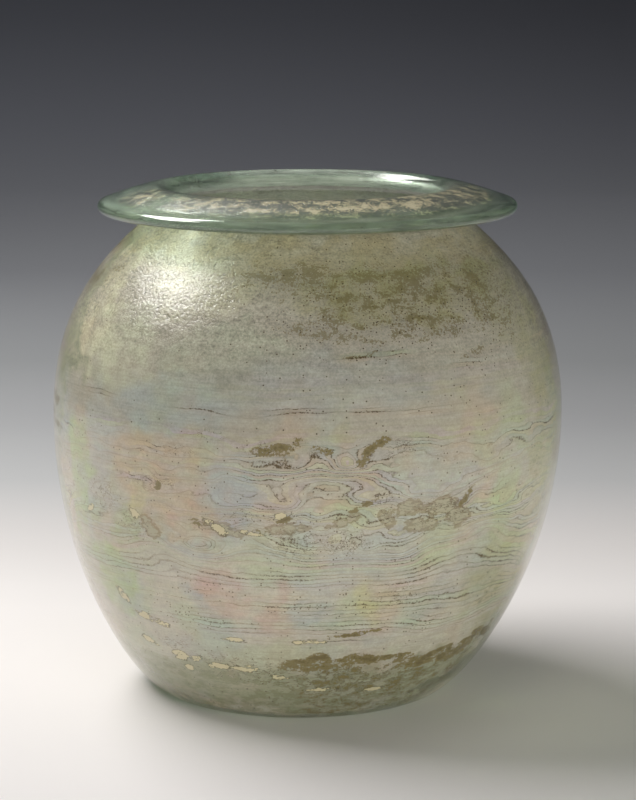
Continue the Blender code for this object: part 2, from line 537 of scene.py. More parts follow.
# %% Places on the urn
degrees = np.degrees(azimuth)[None, :] * np.ones_like(ring_height)
degrees = (degrees + 180) % 360 - 180
height = ring_height / MM * np.ones_like(degrees)
radius = ring_radius / MM * np.ones_like(degrees)
is_outside = np.isin(part_of_row, ["underside", "foot", "lower", "upper", "groove"])[:, None]
is_rim = np.isin(part_of_row, ["turn", "rim_underside", "rim_edge", "rim_face", "mouth"])[:, None]
is_inside = ~(is_outside | is_rim)
HALF = math.log(2)  # makes a patch fall to a half at its edge
HIDDEN_SIDES = (65, 295)  # degrees round, from the right past the back to the left


def patch(where, up, half_length, half_height, slant=0.0, seen_at=None):
    """A soft patch, 1 in its middle and a half at its edge.

    Lengths are in mm. The slant is in degrees and rises towards +X.
    """
    turned, raised = seen_at or (degrees, height)
    aside = (turned - where + 180) % 360 - 180
    along = np.radians(aside) * radius
    above = raised - up
    c, s = math.cos(math.radians(slant)), math.sin(math.radians(slant))
    u, v = along * c + above * s, above * c - along * s
    return np.exp(-HALF * ((u / half_length) ** 2 + (v / half_height) ** 2))


def patches(places, seen_at=None):
    """The strongest of several patches at each point."""
    return np.max([patch(*place, seen_at=seen_at) for place in places], axis=0)


def scattered(seed, count, heights, lengths, tallness, slants=(-12, 12)):
    """Places for marks on the sides and the back, which the photograph doesn't show."""
    draw = np.random.default_rng(seed)
    return [
        (
            draw.uniform(*HIDDEN_SIDES),
            draw.uniform(*heights),
            length := draw.uniform(*lengths),
            length * draw.uniform(*tallness),
            draw.uniform(*slants),
        )
        for _ in range(count)
    ]


def store(name, values):
    """Puts one number per point on the mesh."""
    whole = np.broadcast_to(values, degrees.shape)
    flat = np.concatenate([[whole[0].mean()], whole[1:-1].ravel(), [whole[-1].mean()]])
    glass_mesh.attributes.new(name, "FLOAT", "POINT").data.foreach_set("value", flat.astype(np.float32))
    print(f"{name}: {flat.min():.2f} to {flat.max():.2f}")


# %% [markdown]
# ## The milky film
# The film covers the outside of the body up to the neck. It is thinner on the inside, has gone from a few
# places near the foot, where the clear glass shows, and is worn off the edge that the urn stands on. The
# rim has only a faint haze.
# On the shoulder the film is crazed into grains about a millimetre across, which break up its gloss.

# %% Film
# A pair of numbers is where a change starts and ends, in mm of height or radius, or in degrees round.
NECK_LOSS, NECK_HEIGHTS = 0.6, (201, 210)  # how much of the film is gone from the neck
BARE_LOSS, BARE_EDGE = 0.75, (0.4, 0.75)
BARE = ((62, 18, 16, 7, 20), (46, 12, 12, 3, 5), (-80, 14, 12, 3, 0))  # places, as patch() takes them
WORN_LOSS, WORN_HEIGHTS = 0.7, (0.5, 5)  # how much is worn off the edge that the urn stands on
INSIDE_FILM, INSIDE_HEIGHTS = 0.75, (195, 207)
RIM_HAZE, FRONT_HAZE, BACK_HAZE = 0.1, 0.12, 0.55
MOUTH_RADII = (62, 68)  # the haze at the back lies on the rolled inside of the rim
CRAZED_HEIGHTS = (140, 172)
CRAZED_LEFT = (-20, 20)  # from here to the left the crazing is stronger
LEAST_CRAZED, CRAZED_RIM = 0.22, 0.12
STREAKY_BODY, STREAKY_RIM = 0.2, 0.6

turned_front = np.cos(np.radians(degrees))
ragged_edge = noise_field(true_shape, 10 * MM, octaves=3, seed=21.0)
film = is_outside * (1 - NECK_LOSS * soft(height, *NECK_HEIGHTS))
film = film * (1 - BARE_LOSS * soft(patches(BARE) + 0.5 * ragged_edge, *BARE_EDGE))
behind = soft(-turned_front, 0.7, 0.95) * (1 - soft(radius, *MOUTH_RADII))
haze = RIM_HAZE + FRONT_HAZE * soft(turned_front, 0.1, 0.7) + BACK_HAZE * behind
film = film + is_inside * INSIDE_FILM * (1 - soft(height, *INSIDE_HEIGHTS)) + is_rim * haze
film = film * (1 - WORN_LOSS * is_outside * (1 - soft(height, *WORN_HEIGHTS)))
store("film", film)

crazed = soft(height, *CRAZED_HEIGHTS) * (0.6 + 0.4 * soft(-degrees, *CRAZED_LEFT)) + LEAST_CRAZED
store("crazed", is_outside * crazed + is_rim * CRAZED_RIM)
store("streaky", np.where(is_rim, STREAKY_RIM, STREAKY_BODY))

# %% [markdown]
# ## Flow lines
# The wood-grain lines are contour lines of one slowly changing height. Where that height simply rises, the
# lines run level. A hill in it bends them into a hump, and a steep one closes them into a whorl.
# A second number says how many of the lines show: all where it is 1, none where it is 0.

# %% Flow
HILLS = (  # degrees, height, half length, half height, slant, and how high the hill is in mm
    (20.5, 83, 13, 6, 0, 6.0),
    (29, 78, 9, 5, 0, -3.0),
    (42, 80, 16, 8, 20, -6.0),
    (8.2, 118.6, 5, 3.2, 0, 13.0),
    (27, 103, 20, 9, 0, 9.0),
    (8.8, 111, 11, 6, 0, -7.0),
    (-23.5, 82.5, 9, 4, 0, 11.0),
    (-34, 78, 14, 5, -14, -5.0),
    (7.0, 86, 5, 4, 0, 9.0),
    (1.0, 84, 9, 5, 0, 6.0),
    (13, 84, 4, 3.5, 0, 7.0),
    (39, 120, 14, 7, -15, 6.0),
    (-5, 104, 7, 7, 0, 5.0),
    (36, 46, 22, 7, 12, 4.0),
    (-10, 130, 12, 5, 0, 3.0),
)
LONG_LINES = (  # degrees, height, half length and half height
    (-22, 138, 10, 1.3),
    (-2, 139.3, 14, 1.3),
    (13, 138.6, 8, 1.4),
    (26, 136.8, 14, 1.3),
    (42, 134.5, 12, 1.2),
    (-24, 128.5, 12, 1.2),
    (24, 126, 16, 1.5),
    (12, 159.5, 7, 1.2),
    (20, 160.6, 6, 1.2),
    (38, 154, 9, 1.4),
    (3, 108.5, 9, 1.3),
    (16, 87.5, 20, 1.8),
    (30, 47.5, 18, 1.8),
    (10, 42.5, 12, 1.4),
    (-14, 70.5, 22, 1.2),
    (-34, 121, 12, 1.4),
    (-47, 128, 9, 1.3),
    (-52, 140, 10, 1.2),
    (-38, 108, 14, 1.2),
    (-44, 74, 16, 1.3),
    (20, 74.5, 24, 1.2),
)
CALM, STIRRED = 1.2, 4.5  # mm, how far the lines wander, and how much more over the belly
STIR_STARTS, STIR_ENDS = (76, 90), (116, 138)
SMALL_STIR = 0.6  # the small noise makes them wander by this share of that
BACK_HILL = 8.0  # mm
LONG_LINE, BACK_LINE = 1.35, 1.3  # how surely these lines show
flow_noise = noise_field(true_shape, (34 * MM, 34 * MM, 13 * MM), octaves=3, seed=11.3)
small_noise = noise_field(true_shape, (15 * MM, 15 * MM, 7 * MM), octaves=3, seed=5.1)
stir = CALM + STIRRED * soft(height, *STIR_STARTS) * (1 - soft(height, *STIR_ENDS))
flow = height + stir * flow_noise + SMALL_STIR * stir * small_noise
for *place, rise in HILLS:
    flow = flow + rise * patch(*place)
for *place, _slant in scattered(21, count=14, heights=(50, 130), lengths=(6, 15), tallness=(0.35, 0.6)):
    flow = flow + BACK_HILL * patch(*place)
store("flow", flow)

# The lines crowd between the foot and the shoulder, and are fewer in three calm places.
above_belly = 0.72 * soft(height, 122, 134)
far_left = 0.35 * soft(-degrees, 20, 60)
upper_left = 0.6 * soft(-degrees, 8, 20) * soft(height, 90, 98) * soft(100 + degrees, 0, 20)
upper_right = 0.6 * soft(degrees, 14, 24) * soft(height, 98, 103) * (1 - soft(height, 117, 122))
busy = soft(height, 34, 50) * (1 - above_belly) * (1 - soft(height, 150, 172))
busy = busy * (0.45 + 0.55 * soft(flow_noise, -0.35, 0.25)) * (1 - far_left)
busy = busy * (1 - upper_left) * (1 - upper_right)
back_lines = scattered(
    31, count=30, heights=(70, 160), lengths=(8, 22), tallness=(0.06, 0.12), slants=(-3, 3)
)
shown = np.maximum(busy, LONG_LINE * patches(LONG_LINES))
shown = np.maximum(shown, BACK_LINE * patches(back_lines))
store("lines", is_outside * shown)

# %% [markdown]
# ## Brown stains
# Iron and manganese have stained the film olive brown, in blots on the shoulder, in a broken row of patches
# over the belly and in a ragged band above the foot. The blots on the shoulder are grainy and have no clear
# edge, and the same mottling lies under the band. A tan patch on the right of the belly has paler islands
# in it. A thin olive patina clouds the foot, the shoulder and parts of the sides.

# %% Stains
STAINS = (  # degrees, height, half length, half height and slant
    (-7, 124, 7.5, 2.1, 8),
    (-4.5, 121.5, 1.8, 2.4, 0),
    (-1.2, 127, 3.0, 1.5, -20),
    (3.0, 124, 4.8, 1.6, -12),
    (11.6, 119.5, 2.4, 2.6, 0),
    (13.2, 123.5, 4.6, 1.6, 40),
    (16, 127, 3.4, 1.8, 20),
    (-24, 92.5, 3.4, 1.1, -20),
    (-10, 90.5, 4, 1.0, -10),
    (-4.5, 95.5, 3.2, 1.2, 20),
    (12, 101, 6, 1.1, 25),
    (36, 100, 5, 1.3, 50),
    (12, 44.5, 13, 0.9, 6),
    (-33, 106, 2, 1.4, 60),
)
BLOTS = (  # the grainy ones on the shoulder, given in the same way, as are the broader places below
    (10, 159.3, 4, 1.2, 0),
    (14.5, 160.6, 5, 1.1, 20),
    (40, 157, 8, 1.6, 8),
    (47, 176, 4, 6, 0),
    (52, 184, 5, 5, 20),
    (36, 168, 8, 2, -8),
    (3.7, 185.6, 6, 2.6, -35),
    (9, 180.8, 6, 1.8, -15),
    (14.5, 180, 3, 1.4, -10),
    (6.5, 174.5, 7, 2.6, 25),
    (12.5, 177, 5, 1.5, 0),
    (26.8, 185.5, 6, 2.8, 10),
    (22, 181.5, 3, 2.4, 60),
    (31, 183, 4, 1.8, -50),
    (36.5, 181, 2.4, 1.8, 0),
    (43, 180.5, 3, 1.8, 0),
    (24, 171, 4, 2, -40),
    (31, 171, 2, 3, 0),
    (40, 190, 9, 1.8, 5),
    (27, 177, 2, 2.6, 0),
    (-3, 188, 10, 2, 0),
    (1, 169, 12, 2, -8),
    (17, 188, 6, 2, 10),
)
BAND_TOP = 33.0  # mm, the upper edge of the ragged band above the foot
BAND_WAVES, BAND_TURN = 7, 20  # how many waves it makes round the urn, and the degrees they are turned
BAND_WAVE, BAND_RAGGED = 2.2, 5.0  # mm, how far that edge wanders in waves, and raggedly
BAND_STARTS, BAND_ENDS = (-14, 4), (56, 72)  # degrees round
PATINA = (
    (60, 100, 16, 30, 0),
    (50, 60, 20, 24, 20),
    (-78, 120, 12, 50, 0),
    (30, 176, 60, 16, 0),
    (180, 60, 90, 30, 0),
)
MOTTLED = (
    (26, 184, 50, 12, 0),
    (22, 170, 40, 8, 0),
    (55, 176, 22, 22, 0),
    (-2, 187, 40, 9, 0),
    (205, 180, 120, 14, 0),
)
TAN = (
    (-17, 90, 9, 2.4, -12),
    (-4, 92, 8, 2.0, 6),
    (-36, 88, 5, 3, -40),
    (8, 95, 6, 1.8, 20),
    (22, 99, 6, 2.6, 4),
    (30, 98, 8, 3.2, 4),
    (17.5, 96, 3, 4, 20),
    (34, 93, 6, 4, 0),
    (25, 91, 7, 2.6, 0),
)
MARKED_FOOT = 34.0  # mm, below this the foot has patina and mottling all round

waves = np.sin(np.radians(degrees * BAND_WAVES + BAND_TURN))
band_top = BAND_TOP + BAND_WAVE * waves + BAND_RAGGED * small_noise
below = band_top - height
foot_band = soft(degrees, *BAND_STARTS) * (1 - soft(degrees, *BAND_ENDS))
# It is darkest in its upper few millimetres.
foot_band = foot_band * soft(below, -1.5, 1.5) * (0.36 + 0.5 * (1 - soft(below, 3, 8)))
back_stains = scattered(
    5, count=22, heights=(114, 130), lengths=(7, 16), tallness=(0.12, 0.25), slants=(-8, 8)
)
stains = np.maximum(patches(STAINS), foot_band)
stains = np.maximum(stains, 0.72 * patches(back_stains))
store("stain", is_outside * stains)

low = MARKED_FOOT - height
near_foot = soft(low, -2, 12) * (0.6 + 0.4 * soft(degrees, -30, 20))
store("patina", is_outside * np.maximum(0.5 * patches(PATINA), near_foot))

under_band = 0.3 * soft(low, 0, 14) * (0.66 + 0.34 * soft(degrees, -20, 20))
back_blots = scattered(
    4, count=36, heights=(166, 192), lengths=(4, 10), tallness=(0.3, 0.6), slants=(-40, 40)
)
blots = np.maximum(patches(BLOTS), 0.9 * patches(back_blots))
store("mottle", is_outside * np.maximum(0.66 * patches(MOTTLED) + 0.75 * blots, under_band))

back_tan = scattered(6, count=7, heights=(84, 112), lengths=(10, 20), tallness=(0.2, 0.35))
store("tan", is_outside * np.maximum(patches(TAN), 0.75 * patches(back_tan)))

# %% [markdown]
# ## Loose scales and specks
# A few scales of the film have lifted. They catch the light as cream flakes with a dark edge. Where more of
# them are loose, only their outlines show, as small closed loops. Dark specks are the pits between them.

# %% Scales and specks
FLAKES = (  # these too are degrees, height, half length, half height and slant
    (-42, 45.5, 9, 1.5, -12),
    (-17.8, 41.3, 5.6, 0.9, -4),
    (2.2, 41.6, 6.5, 1.1, 3),
    (-35, 29.9, 3.6, 2.0, 0),
    (-30, 29.5, 3, 1.8, 8),
    (-14.5, 27.5, 6, 1.4, 0),
    (-33, 24.2, 3, 1.2, 0),
    (-19.2, 90.8, 6, 1.3, -32),
    (-11.5, 89.6, 5.2, 1.0, -4),
    (-5.2, 97.5, 3.0, 1.3, 25),
    (-50, 53, 4, 1.8, -40),
    (-56, 90, 3, 1.4, 30),
    (-40, 92, 3, 1.4, -30),
    (-24, 27, 5, 1.4, 4),
    (-6, 24, 4, 1.0, -6),
    (-45, 34, 4, 1.4, -20),
    (6, 17.5, 6, 0.9, 0),
    (22, 15.5, 5, 0.8, 4),
)
LOOSE = (
    (-2, 85, 11, 6, 0),
    (9, 86, 9, 7, 0),
    (17, 99, 5, 6, 0),
    (20, 124, 8, 4, 8),
    (-14, 96, 9, 4, 0),
    (-5, 97, 7, 4, 0),
    (-40, 88, 10, 6, -20),
    (-50, 97, 9, 8, 0),
    (-34, 107, 12, 4, 0),
    (-28, 121, 8, 3, 0),
    (30, 96, 14, 7, 0),
    (-36, 36, 8, 4, 0),
    (-9, 124, 9, 3, 0),
    (-20, 129, 7, 2.4, 0),
    (-18, 27, 26, 7, 0),
    (12, 22, 30, 7, 0),
    (-2, 86, 7, 4, 0),
    (22, 61, 10, 5, 0),
)
PITTED = (
    (22, 171, 22, 4, 0),
    (38, 176, 20, 8, 0),
    (-22, 103, 2, 10, 0),
    (15, 59, 8, 4, 10),
    (10, 64, 4, 1.6, 0),
    (26, 53, 8, 2.4, 20),
    (32, 46, 10, 2, 15),
    (-24, 64, 12, 5, 0),
    (2, 57, 14, 3, 0),
    (6, 88, 14, 8, 0),
    (-30, 50, 10, 5, -20),
    (14, 160, 12, 2, 5),
    (44, 155, 8, 2, 10),
)
FEW_PITS, SHOULDER_PITS = 0.12, 0.2  # everywhere, and how many more on the shoulder
PIT_SHARE = 0.7
back_flakes = scattered(9, count=26, heights=(24, 100), lengths=(4, 11), tallness=(0.1, 0.25))
back_loose = scattered(12, count=22, heights=(30, 130), lengths=(6, 14), tallness=(0.4, 0.7))
back_pits = scattered(14, count=26, heights=(40, 185), lengths=(5, 20), tallness=(0.2, 0.5))
store("flake", is_outside * np.maximum(patches(FLAKES), 0.8 * patches(back_flakes)))
store("loose", is_outside * np.maximum(patches(LOOSE), patches(back_loose)))

everywhere = FEW_PITS + SHOULDER_PITS * soft(height, 150, 168) * (1 - soft(height, 186, 196))
everywhere = everywhere * (1 - 0.8 * soft(-degrees, 0, 14) * soft(height, 122, 136))
pits = np.maximum(patches(PITTED), patches(back_pits))
store("pits", is_outside * PIT_SHARE * np.maximum(pits, everywhere))

# %% [markdown]
# ## Crust on the rim
# The rim's upper face is clear, but for a broken cream crust, thickest at the front right.

# %% Crust
CRUST_TURN = 22  # degrees round, where the crust is thickest
THIN_CRUST = 0.3  # how much of it there is at the opposite side
FLECKS = ((-66, 212, 18, 8, 0), (-40, 213, 14, 8, 0))
upper_face = soft(radius, 58.5, 61) * (1 - soft(radius, 75, 87)) * soft(height, 206, 209.5)
towards_crust = soft(np.cos(np.radians(degrees - CRUST_TURN)), 0.1, 0.85)
around_rim = THIN_CRUST + (1 - THIN_CRUST) * towards_crust
flecks = patches(FLECKS) * soft(radius, 62, 66) * (1 - soft(radius, 80, 86))
store("crust", is_rim * np.maximum(upper_face * around_rim, 0.8 * flecks))

# %% [markdown]
# ## Pastel colours
# Thin layers of the film split the light as a soap bubble does, so the lower left is tinted peach, pink,
# blue grey and yellow green. Each tint is a broad patch with a wandering edge, laid over the film's own
# grey cream.

# %% Tints
FILM_TONE = "#e3dac7"
RIM_TONE = "#dae1d3"
INSIDE_TONE = "#f4f1f1"
DRIFT = ("#ebccb0", "#ccdcae", "#ccd6d6")  # faint hues that come and go over the whole belly
DRIFT_SHARE, DRIFT_HEIGHTS = 0.35, (130, 165)
PAINTED_LOW_LIGHT, PAINTED_LIGHT_LOSS, PAINTED_LIGHT_HEIGHTS = 1.06, 0.2, (60, 150)  # painted light: the film is painted lighter low down, where light from the floor reaches it
TINTS = (  # colour, strength and places
    ("#ecc79c", 0.42, [(-35, 110, 24, 17, 0), (-27, 92, 16, 10, 0), (-66, 160, 8, 6, 0)]),
    ("#e8c3a2", 0.18, [(39, 112, 14, 10, 0)]),
    ("#e8b8ac", 0.36, [(-21, 96, 13, 9, 0), (-20, 60, 12, 13, 0), (-7, 57, 5, 13, 0)]),
    ("#c6d2d2", 0.45, [(-14.5, 106, 7, 13, 0), (-25, 60, 7, 8, 0), (3, 55, 8, 9, 0), (-30, 140, 30, 12, 0)]),
    ("#cfe0a2", 0.5, [(-60, 100, 10, 26, 0), (-42, 85, 10, 9, 0), (-52, 60, 16, 13, 0)]),
    ("#d3dcae", 0.3, [(48, 98, 9, 14, 0)]),
    ("#eee6a6", 0.36, [(14, 56, 4.5, 10, 0), (-38, 98, 7, 7, 0)]),
    ("#e2ddb6", 0.4, [(-30, 182, 30, 8, 0)]),
    # Partly painted light: this pale cream brightens the left side, where the key light falls.
    ("#f6efcc", 0.6, [(-62, 162, 22, 15, 0), (-64, 186, 16, 8, 0)]),
    ("#eceecc", 0.42, [(-47, 159, 18, 13, 0)]),
    ("#ced5ba", 0.38, [(-18, 156, 28, 14, 0)]),
    ("#a3a68c", 0.6, [(-65, 149.5, 13, 4.5, -6)]),
    ("#b4b2a6", 0.45, [(6, 151, 50, 10, 0)]),
    ("#d8d7cf", 0.5, [(6, 147, 34, 12, 0), (26, 108, 24, 8, 0), (6, 73, 22, 8, 0), (38, 62, 16, 12, 0)]),
    ("#c2bb8a", 0.7, [(30, 184, 50, 13, 0)]),
    ("#c8c496", 0.45, [(62, 172, 20, 24, 0), (55, 60, 20, 26, 30), (66, 118, 18, 44, 0)]),
    ("#9f9d74", 0.62, [(24, 16, 60, 13, 0), (-30, 12, 50, 8, 0), (180, 12, 90, 9, 0)]),
    # Partly painted light: the warm hue of this band under the rim offsets the green of the rim's cast
    # shadow there.
    ("#cdbf9e", 0.7, [(0, 197, 200, 6, 0), (180, 197, 200, 6, 0)]),
    ("#c6c6a8", 0.7, [(-74, 140, 8, 70, 0), (0, 18, 200, 9, 0)]),
)
edge_noise = [noise_field(true_shape, 14 * MM, octaves=4, seed=seed) for seed in (71.0, 83.0)]
fine_noise = noise_field(true_shape, (9 * MM, 9 * MM, 6 * MM), octaves=3, seed=97.0)
wandering = (degrees + 5 * edge_noise[0], height + 8 * edge_noise[1])  # by about 5 degrees and 8 mm
hue_noise = [noise_field(true_shape, 24 * MM, octaves=4, seed=seed) for seed in (31.0, 47.0, 59.0)]


def plain(tone):
    """A hex colour as linear red, green and blue in an array."""
    return np.array(linear(tone)[:3])


def tinted(base, tint, share):
    """Moves a colour towards a tint by a share."""
    return base + share[..., None] * (plain(tint) - base)


# Painted light: the film's colour is lightened low down, where light from the floor reaches it.
painted_low_light = PAINTED_LOW_LIGHT - PAINTED_LIGHT_LOSS * soft(height, *PAINTED_LIGHT_HEIGHTS)
colour = plain(FILM_TONE) * painted_low_light[..., None]
for hue, field in zip(DRIFT, hue_noise):
    colour = tinted(colour, hue, DRIFT_SHARE * soft(field, 0.0, 0.5) * (1 - soft(height, *DRIFT_HEIGHTS)))
for tint, strength, places in TINTS:
    share = soft(patches(places, wandering), 0.3, 0.65) * (0.6 + 0.7 * soft(fine_noise, -0.5, 0.5))
    colour = tinted(colour, tint, strength * share)
colour = np.where(is_rim[..., None], plain(RIM_TONE), colour)
colour = np.where(is_inside[..., None], plain(INSIDE_TONE), colour)
ends = [colour[i].mean(axis=0)[None] for i in (0, -1)]
whole = np.concatenate([ends[0], colour[1:-1].reshape(-1, 3), ends[1]])
rgba = np.concatenate([whole, np.ones((len(whole), 1))], axis=1).astype(np.float32)
glass_mesh.attributes.new("tint", "FLOAT_COLOR", "POINT").data.foreach_set("color", rgba.ravel())
print("tint, mean:", whole.mean(axis=0).round(3))

# %% [markdown]
# ## The glass
# Soda-lime glass has an IOR of 1.52. This one is natural glass, coloured a pale blue green by a little iron
# in the sand. It takes red light most, so a thick edge looks greener than a wall of 3 mm. An absorbing
# volume does exactly that.
# The film is a part of the same surface, so one shader draws both: where the film lies, less light goes
# through and what comes back is scattered. The next cells build that shader's colour and relief from the
# bottom up.

# %% Start the material
glass_material, tree, output = new_material("weathered_blown_glass")
place = add(tree, "TexCoord", out="Object")
SURFACE = ("film", "crazed", "streaky", "flow", "lines")
MARKS = ("patina", "stain", "mottle", "tan", "flake", "loose", "pits", "crust")
field = {
    name: add(tree, "Attribute", out="Fac", attribute_name=name) for name in SURFACE + MARKS
}
tint = add(tree, "Attribute", out="Color", attribute_name="tint")
print("fields:", sorted(field))

# %% [markdown]
# ## Three noises
# One makes torn edges a few millimetres long, flatter than they are wide. One makes grains of about a
# millimetre, which is coarser than the real ones, because finer ones wouldn't show. One makes hair-fine
# level streaks.

# %% Noises
TEAR, TEAR_FLATNESS = 6.0, 1.8  # mm long, and how many times longer than high
GRAIN = 0.9  # mm, the real ones are about half that
STREAK, STREAK_FLATNESS = 16.0, 22.0  # mm long, and how many times longer than high
tear_place = add(tree, "Mapping", {"Vector": place, "Scale": (1.0, 1.0, TEAR_FLATNESS)})
streak_place = add(tree, "Mapping", {"Vector": place, "Scale": (1.0, 1.0, STREAK_FLATNESS)})
ragged = add(
    tree,
    "TexNoise",
    {"Vector": tear_place, "Scale": 1 / (TEAR * MM), "Detail": 4.0, "Roughness": 0.65},
)
grain = add(tree, "TexNoise", {"Vector": place, "Scale": 1 / (GRAIN * MM), "Detail": 2.0, "Roughness": 0.7})
streaks = add(tree, "TexNoise", {"Vector": streak_place, "Scale": 1 / (STREAK * MM), "Detail": 2.0})
# A noise's mean is a half, so less that they push both ways.
tear, grit, smear = (
    add(tree, "Math", {0: noisy, 1: 0.5}, operation="SUBTRACT") for noisy in (ragged, grain, streaks)
)
streaking = add(tree, "Math", {0: smear, 1: field["streaky"]}, operation="MULTIPLY")
print("noises, mm:", TEAR, GRAIN, STREAK)

# %% [markdown]
# ## Crazing and specks
# Where the film is crazed, a net of fine cracks lies between its grains. Points are scattered one to a
# cell, and the cracks run where the nearest point is farthest off. Close round a point lies a speck, where
# a lot keeps it.

# %% Crazing and specks
CELL = 1.3  # mm, the real grains are about half that
SPECK_RADIUS = 0.42  # mm
CRACKS_FROM, CRACKS_TO = 0.46, 0.76  # distance from the point, in cells
cells = add(tree, "TexVoronoi", {"Vector": place, "Scale": 1 / (CELL * MM)})
crack = add(tree, "MapRange", {"Value": cells, "From Min": CRACKS_FROM, "From Max": CRACKS_TO})
crack = add(tree, "Math", {0: crack, 1: field["crazed"]}, operation="MULTIPLY")
speck = add(
    tree,
    "MapRange",
    {"Value": cells, "From Min": SPECK_RADIUS / CELL, "From Max": 0.5 * SPECK_RADIUS / CELL},
)
cell_lot = add(tree, "SeparateColor", {"Color": cells.node.outputs["Color"]})
kept = add(tree, "Math", {0: field["pits"], 1: cell_lot}, operation="GREATER_THAN")
speck = add(tree, "Math", {0: speck, 1: kept}, operation="MULTIPLY")
print("grains, mm:", CELL)

# %% [markdown]
# ## Drawing the flow lines
# Dividing the flow height by the spacing gives each line a whole number. How far a point is from the
# nearest whole number says whether it is on a line, and a lot drawn for that number decides whether the
# line shows.

# %% Lines
LINE_SPACING = 1.75  # mm
LINE_HALF_WIDTH = 0.34  # mm, as thin as the picture can show
LINE_WOBBLE = 1.8  # mm
LEAST_LINE, MOST_LINE = 0.2, 1.25  # how strong a line is in the gaps between the grains, and on them
SEEN_FROM, SEEN_TO = -0.05, 0.85  # the field less the lot: from unseen to all there
wobble = add(tree, "Math", {0: tear, 1: LINE_WOBBLE, 2: field["flow"]}, operation="MULTIPLY_ADD")
number = add(tree, "Math", {0: wobble, 1: LINE_SPACING}, operation="DIVIDE")
off_line = add(tree, "Math", {0: number, 1: 0.5}, operation="PINGPONG")
on_line = add(
    tree,
    "MapRange",
    {"Value": off_line, "From Min": LINE_HALF_WIDTH / LINE_SPACING, "From Max": 0.0},
    interpolation_type="SMOOTHSTEP",
)
nearest = add(tree, "Math", {0: number}, operation="ROUND")
lot = add(tree, "TexWhiteNoise", {"W": nearest}, noise_dimensions="1D")
chance = add(tree, "Math", {0: field["lines"], 1: lot}, operation="SUBTRACT")
seen = add(tree, "MapRange", {"Value": chance, "From Min": SEEN_FROM, "From Max": SEEN_TO})
broken = add(
    tree,
    "MapRange",
    {"Value": grain, "From Min": 0.4, "From Max": 0.55, "To Min": LEAST_LINE, "To Max": MOST_LINE},
)
line = add(tree, "Math", {0: on_line, 1: seen}, operation="MULTIPLY")
line = add(tree, "Math", {0: line, 1: broken}, operation="MULTIPLY")

# Beads of a darker stain sit on a few of the lines.
BEAD_RADIUS = 0.6  # mm
BEADED_FROM, BEADED_TO = 0.62, 0.72  # the same measure, from no beads to all
on_bead = add(
    tree,
    "MapRange",
    {"Value": off_line, "From Min": BEAD_RADIUS / LINE_SPACING, "From Max": 0.1},
)
beaded = add(tree, "MapRange", {"Value": chance, "From Min": BEADED_FROM, "From Max": BEADED_TO})
bead = add(tree, "MapRange", {"Value": grain, "From Min": 0.5, "From Max": 0.58})
bead = add(tree, "Math", {0: bead, 1: on_bead}, operation="MULTIPLY")
bead = add(tree, "Math", {0: bead, 1: beaded}, operation="MULTIPLY")
line = add(tree, "Math", {0: line, 1: bead}, operation="MAXIMUM")
layer = add(tree, "Math", {0: number}, operation="FLOOR")
layer_tone = add(tree, "TexWhiteNoise", {"W": layer}, out="Color", noise_dimensions="1D")
print("lines every", LINE_SPACING, "mm")

# %% [markdown]
# ## Torn edges
# Stains, scales, crust and mottling all have torn edges. Each one's field is multiplied by one plus the
# noises and then cut at a level: a narrow cut gives a crisp edge, a wide one a soft edge. Two cuts of one
# field, the lower a little wider than the higher, give a mark with an outline.

# %% Torn marks
# For each mark: its field, the shares of tears, grit and smears, and the low and the high end of the cut
CUTS = {
    "patina": ("patina", 7.0, 1.6, 0.0, 0.4, 1.1),
    "mottle": ("mottle", 7.0, 6.0, 0.0, 0.68, 1.08),
    "stain_edge": ("stain", 4.4, 1.8, 0.0, 0.42, 0.5),
    "stain": ("stain", 4.4, 1.8, 0.0, 0.52, 0.64),
    "stain_core": ("stain", 4.4, 1.8, 0.0, 0.7, 1.2),
    "tan_edge": ("tan", 4.4, 0.8, 0.0, 0.34, 0.42),
    "tan": ("tan", 4.4, 0.8, 0.0, 0.66, 0.74),
    "flake_edge": ("flake", 5.0, 1.0, 0.0, 0.38, 0.44),
    "flake": ("flake", 5.0, 1.0, 0.0, 0.52, 0.58),
    "dull_crust": ("crust", -7.0, 7.0, -1.0, 0.55, 0.85),
    "crust": ("crust", 10.0, 9.0, 2.0, 1.25, 1.42),
}
torn = {}
roughened = {}
for name, (source, tears, grits, smears, low, high) in CUTS.items():
    key = (source, tears)
    if key not in roughened:
        rough = 1.0
        for cause, share in ((tear, tears), (grit, grits), (smear, smears)):
            if share:
                rough = add(tree, "Math", {0: cause, 1: share, 2: rough}, operation="MULTIPLY_ADD")
        roughened[key] = add(tree, "Math", {0: rough, 1: field[source]}, operation="MULTIPLY")
    torn[name] = add(
        tree,
        "MapRange",
        {"Value": roughened[key], "From Min": low, "From Max": high},
        interpolation_type="SMOOTHSTEP",
    )
print("marks:", list(torn))

# %% [markdown]
# ## Loops
# The outline of a loose scale is a contour line of the tearing noise itself.

# %% Loops
LOOP_STEP = 0.09  # from one outline to the next, as a share of the noise's height
LOOP_HALF_WIDTH = 0.02
around_loop = add(tree, "Math", {0: tear, 1: LOOP_STEP}, operation="PINGPONG")
loop = add(
    tree,
    "MapRange",
    {"Value": around_loop, "From Min": LOOP_HALF_WIDTH, "From Max": 0.0},
    interpolation_type="SMOOTHSTEP",
)
is_loose = add(tree, "MapRange", {"Value": field["loose"], "From Min": 0.3, "From Max": 0.8})
loop = add(tree, "Math", {0: loop, 1: is_loose}, operation="MULTIPLY")
loop = add(tree, "Math", {0: loop, 1: broken}, operation="MULTIPLY")
dark_marks = add(tree, "Math", {0: line, 1: loop}, operation="MAXIMUM")
dark_marks = add(tree, "Math", {0: dark_marks, 1: speck}, operation="MAXIMUM")
print("outlines every", LOOP_STEP, "of the tearing noise")

# %% [markdown]
# ## Colour from the bottom layer up
# The film's tint comes first, made uneven by the grains, the tears, the streaks and a tone for each layer
# between two flow lines. The patina, the mottling, the tan patches, the dark marks, the stains and the
# flakes lie over it, and the crust over all.

